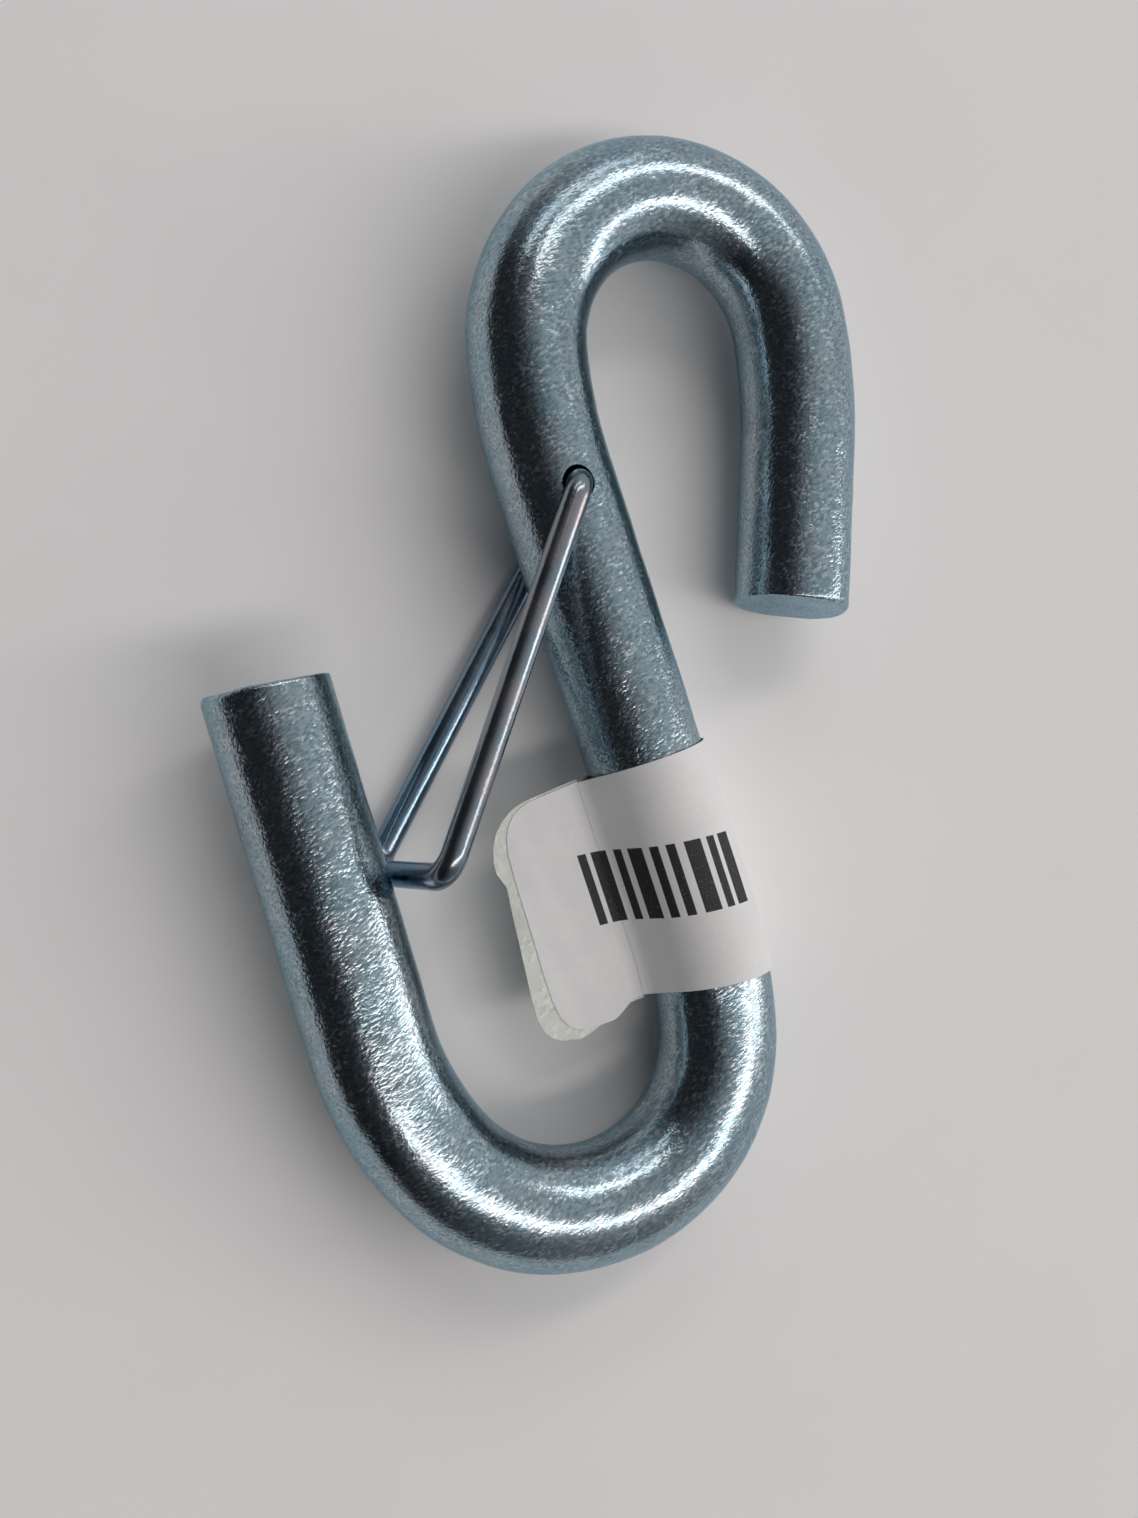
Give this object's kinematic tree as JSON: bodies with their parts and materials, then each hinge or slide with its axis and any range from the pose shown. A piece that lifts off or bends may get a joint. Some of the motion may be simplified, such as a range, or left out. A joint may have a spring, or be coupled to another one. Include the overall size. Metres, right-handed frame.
{
  "type": "safety chain hook",
  "caption": "S-shaped round-bar safety chain hook with a sprung wire latch across its lower mouth and a plain paper label wrapped round the shank.",
  "frame": {"origin": "centre of the footprint, level with the lowest point of the hook as it lies flat", "axes": "X and Y span the plane of the S, +Y from the tow bowl to the chain eye, +Z is the thickness, up when it lies flat"},
  "size_m": [0.0626, 0.1052, 0.0172],
  "materials": {
    "zinc_plated_bar": "bright zinc plate, satin with fine speckled grain",
    "latch_spring_wire": "bright zinc plate on drawn wire, smooth",
    "label_paper": "matt coated paper",
    "label_adhesive_film": "glossy, slightly translucent adhesive side"
  },
  "bodies": {
    "hook": {"hook_bar": "zinc_plated_bar", "label_wrap": "label_paper", "label_front_tail": "label_paper", "label_back_tail": "label_adhesive_film"},
    "latch": {"latch_wire": "latch_spring_wire"}
  },
  "joints": [
    {"name": "latch_hinge", "type": "hinge", "parent": "hook", "child": "latch", "pos_m": [0.00118, 0.01693, 0.00858], "axis": [-0.1264, 0.1617, 0.9787], "range_deg": [0, 24], "stiffness_Nm_per_rad": 0.15, "springref_deg": -28.65, "deforming": ["label_front_tail", "label_back_tail"]}
  ]
}
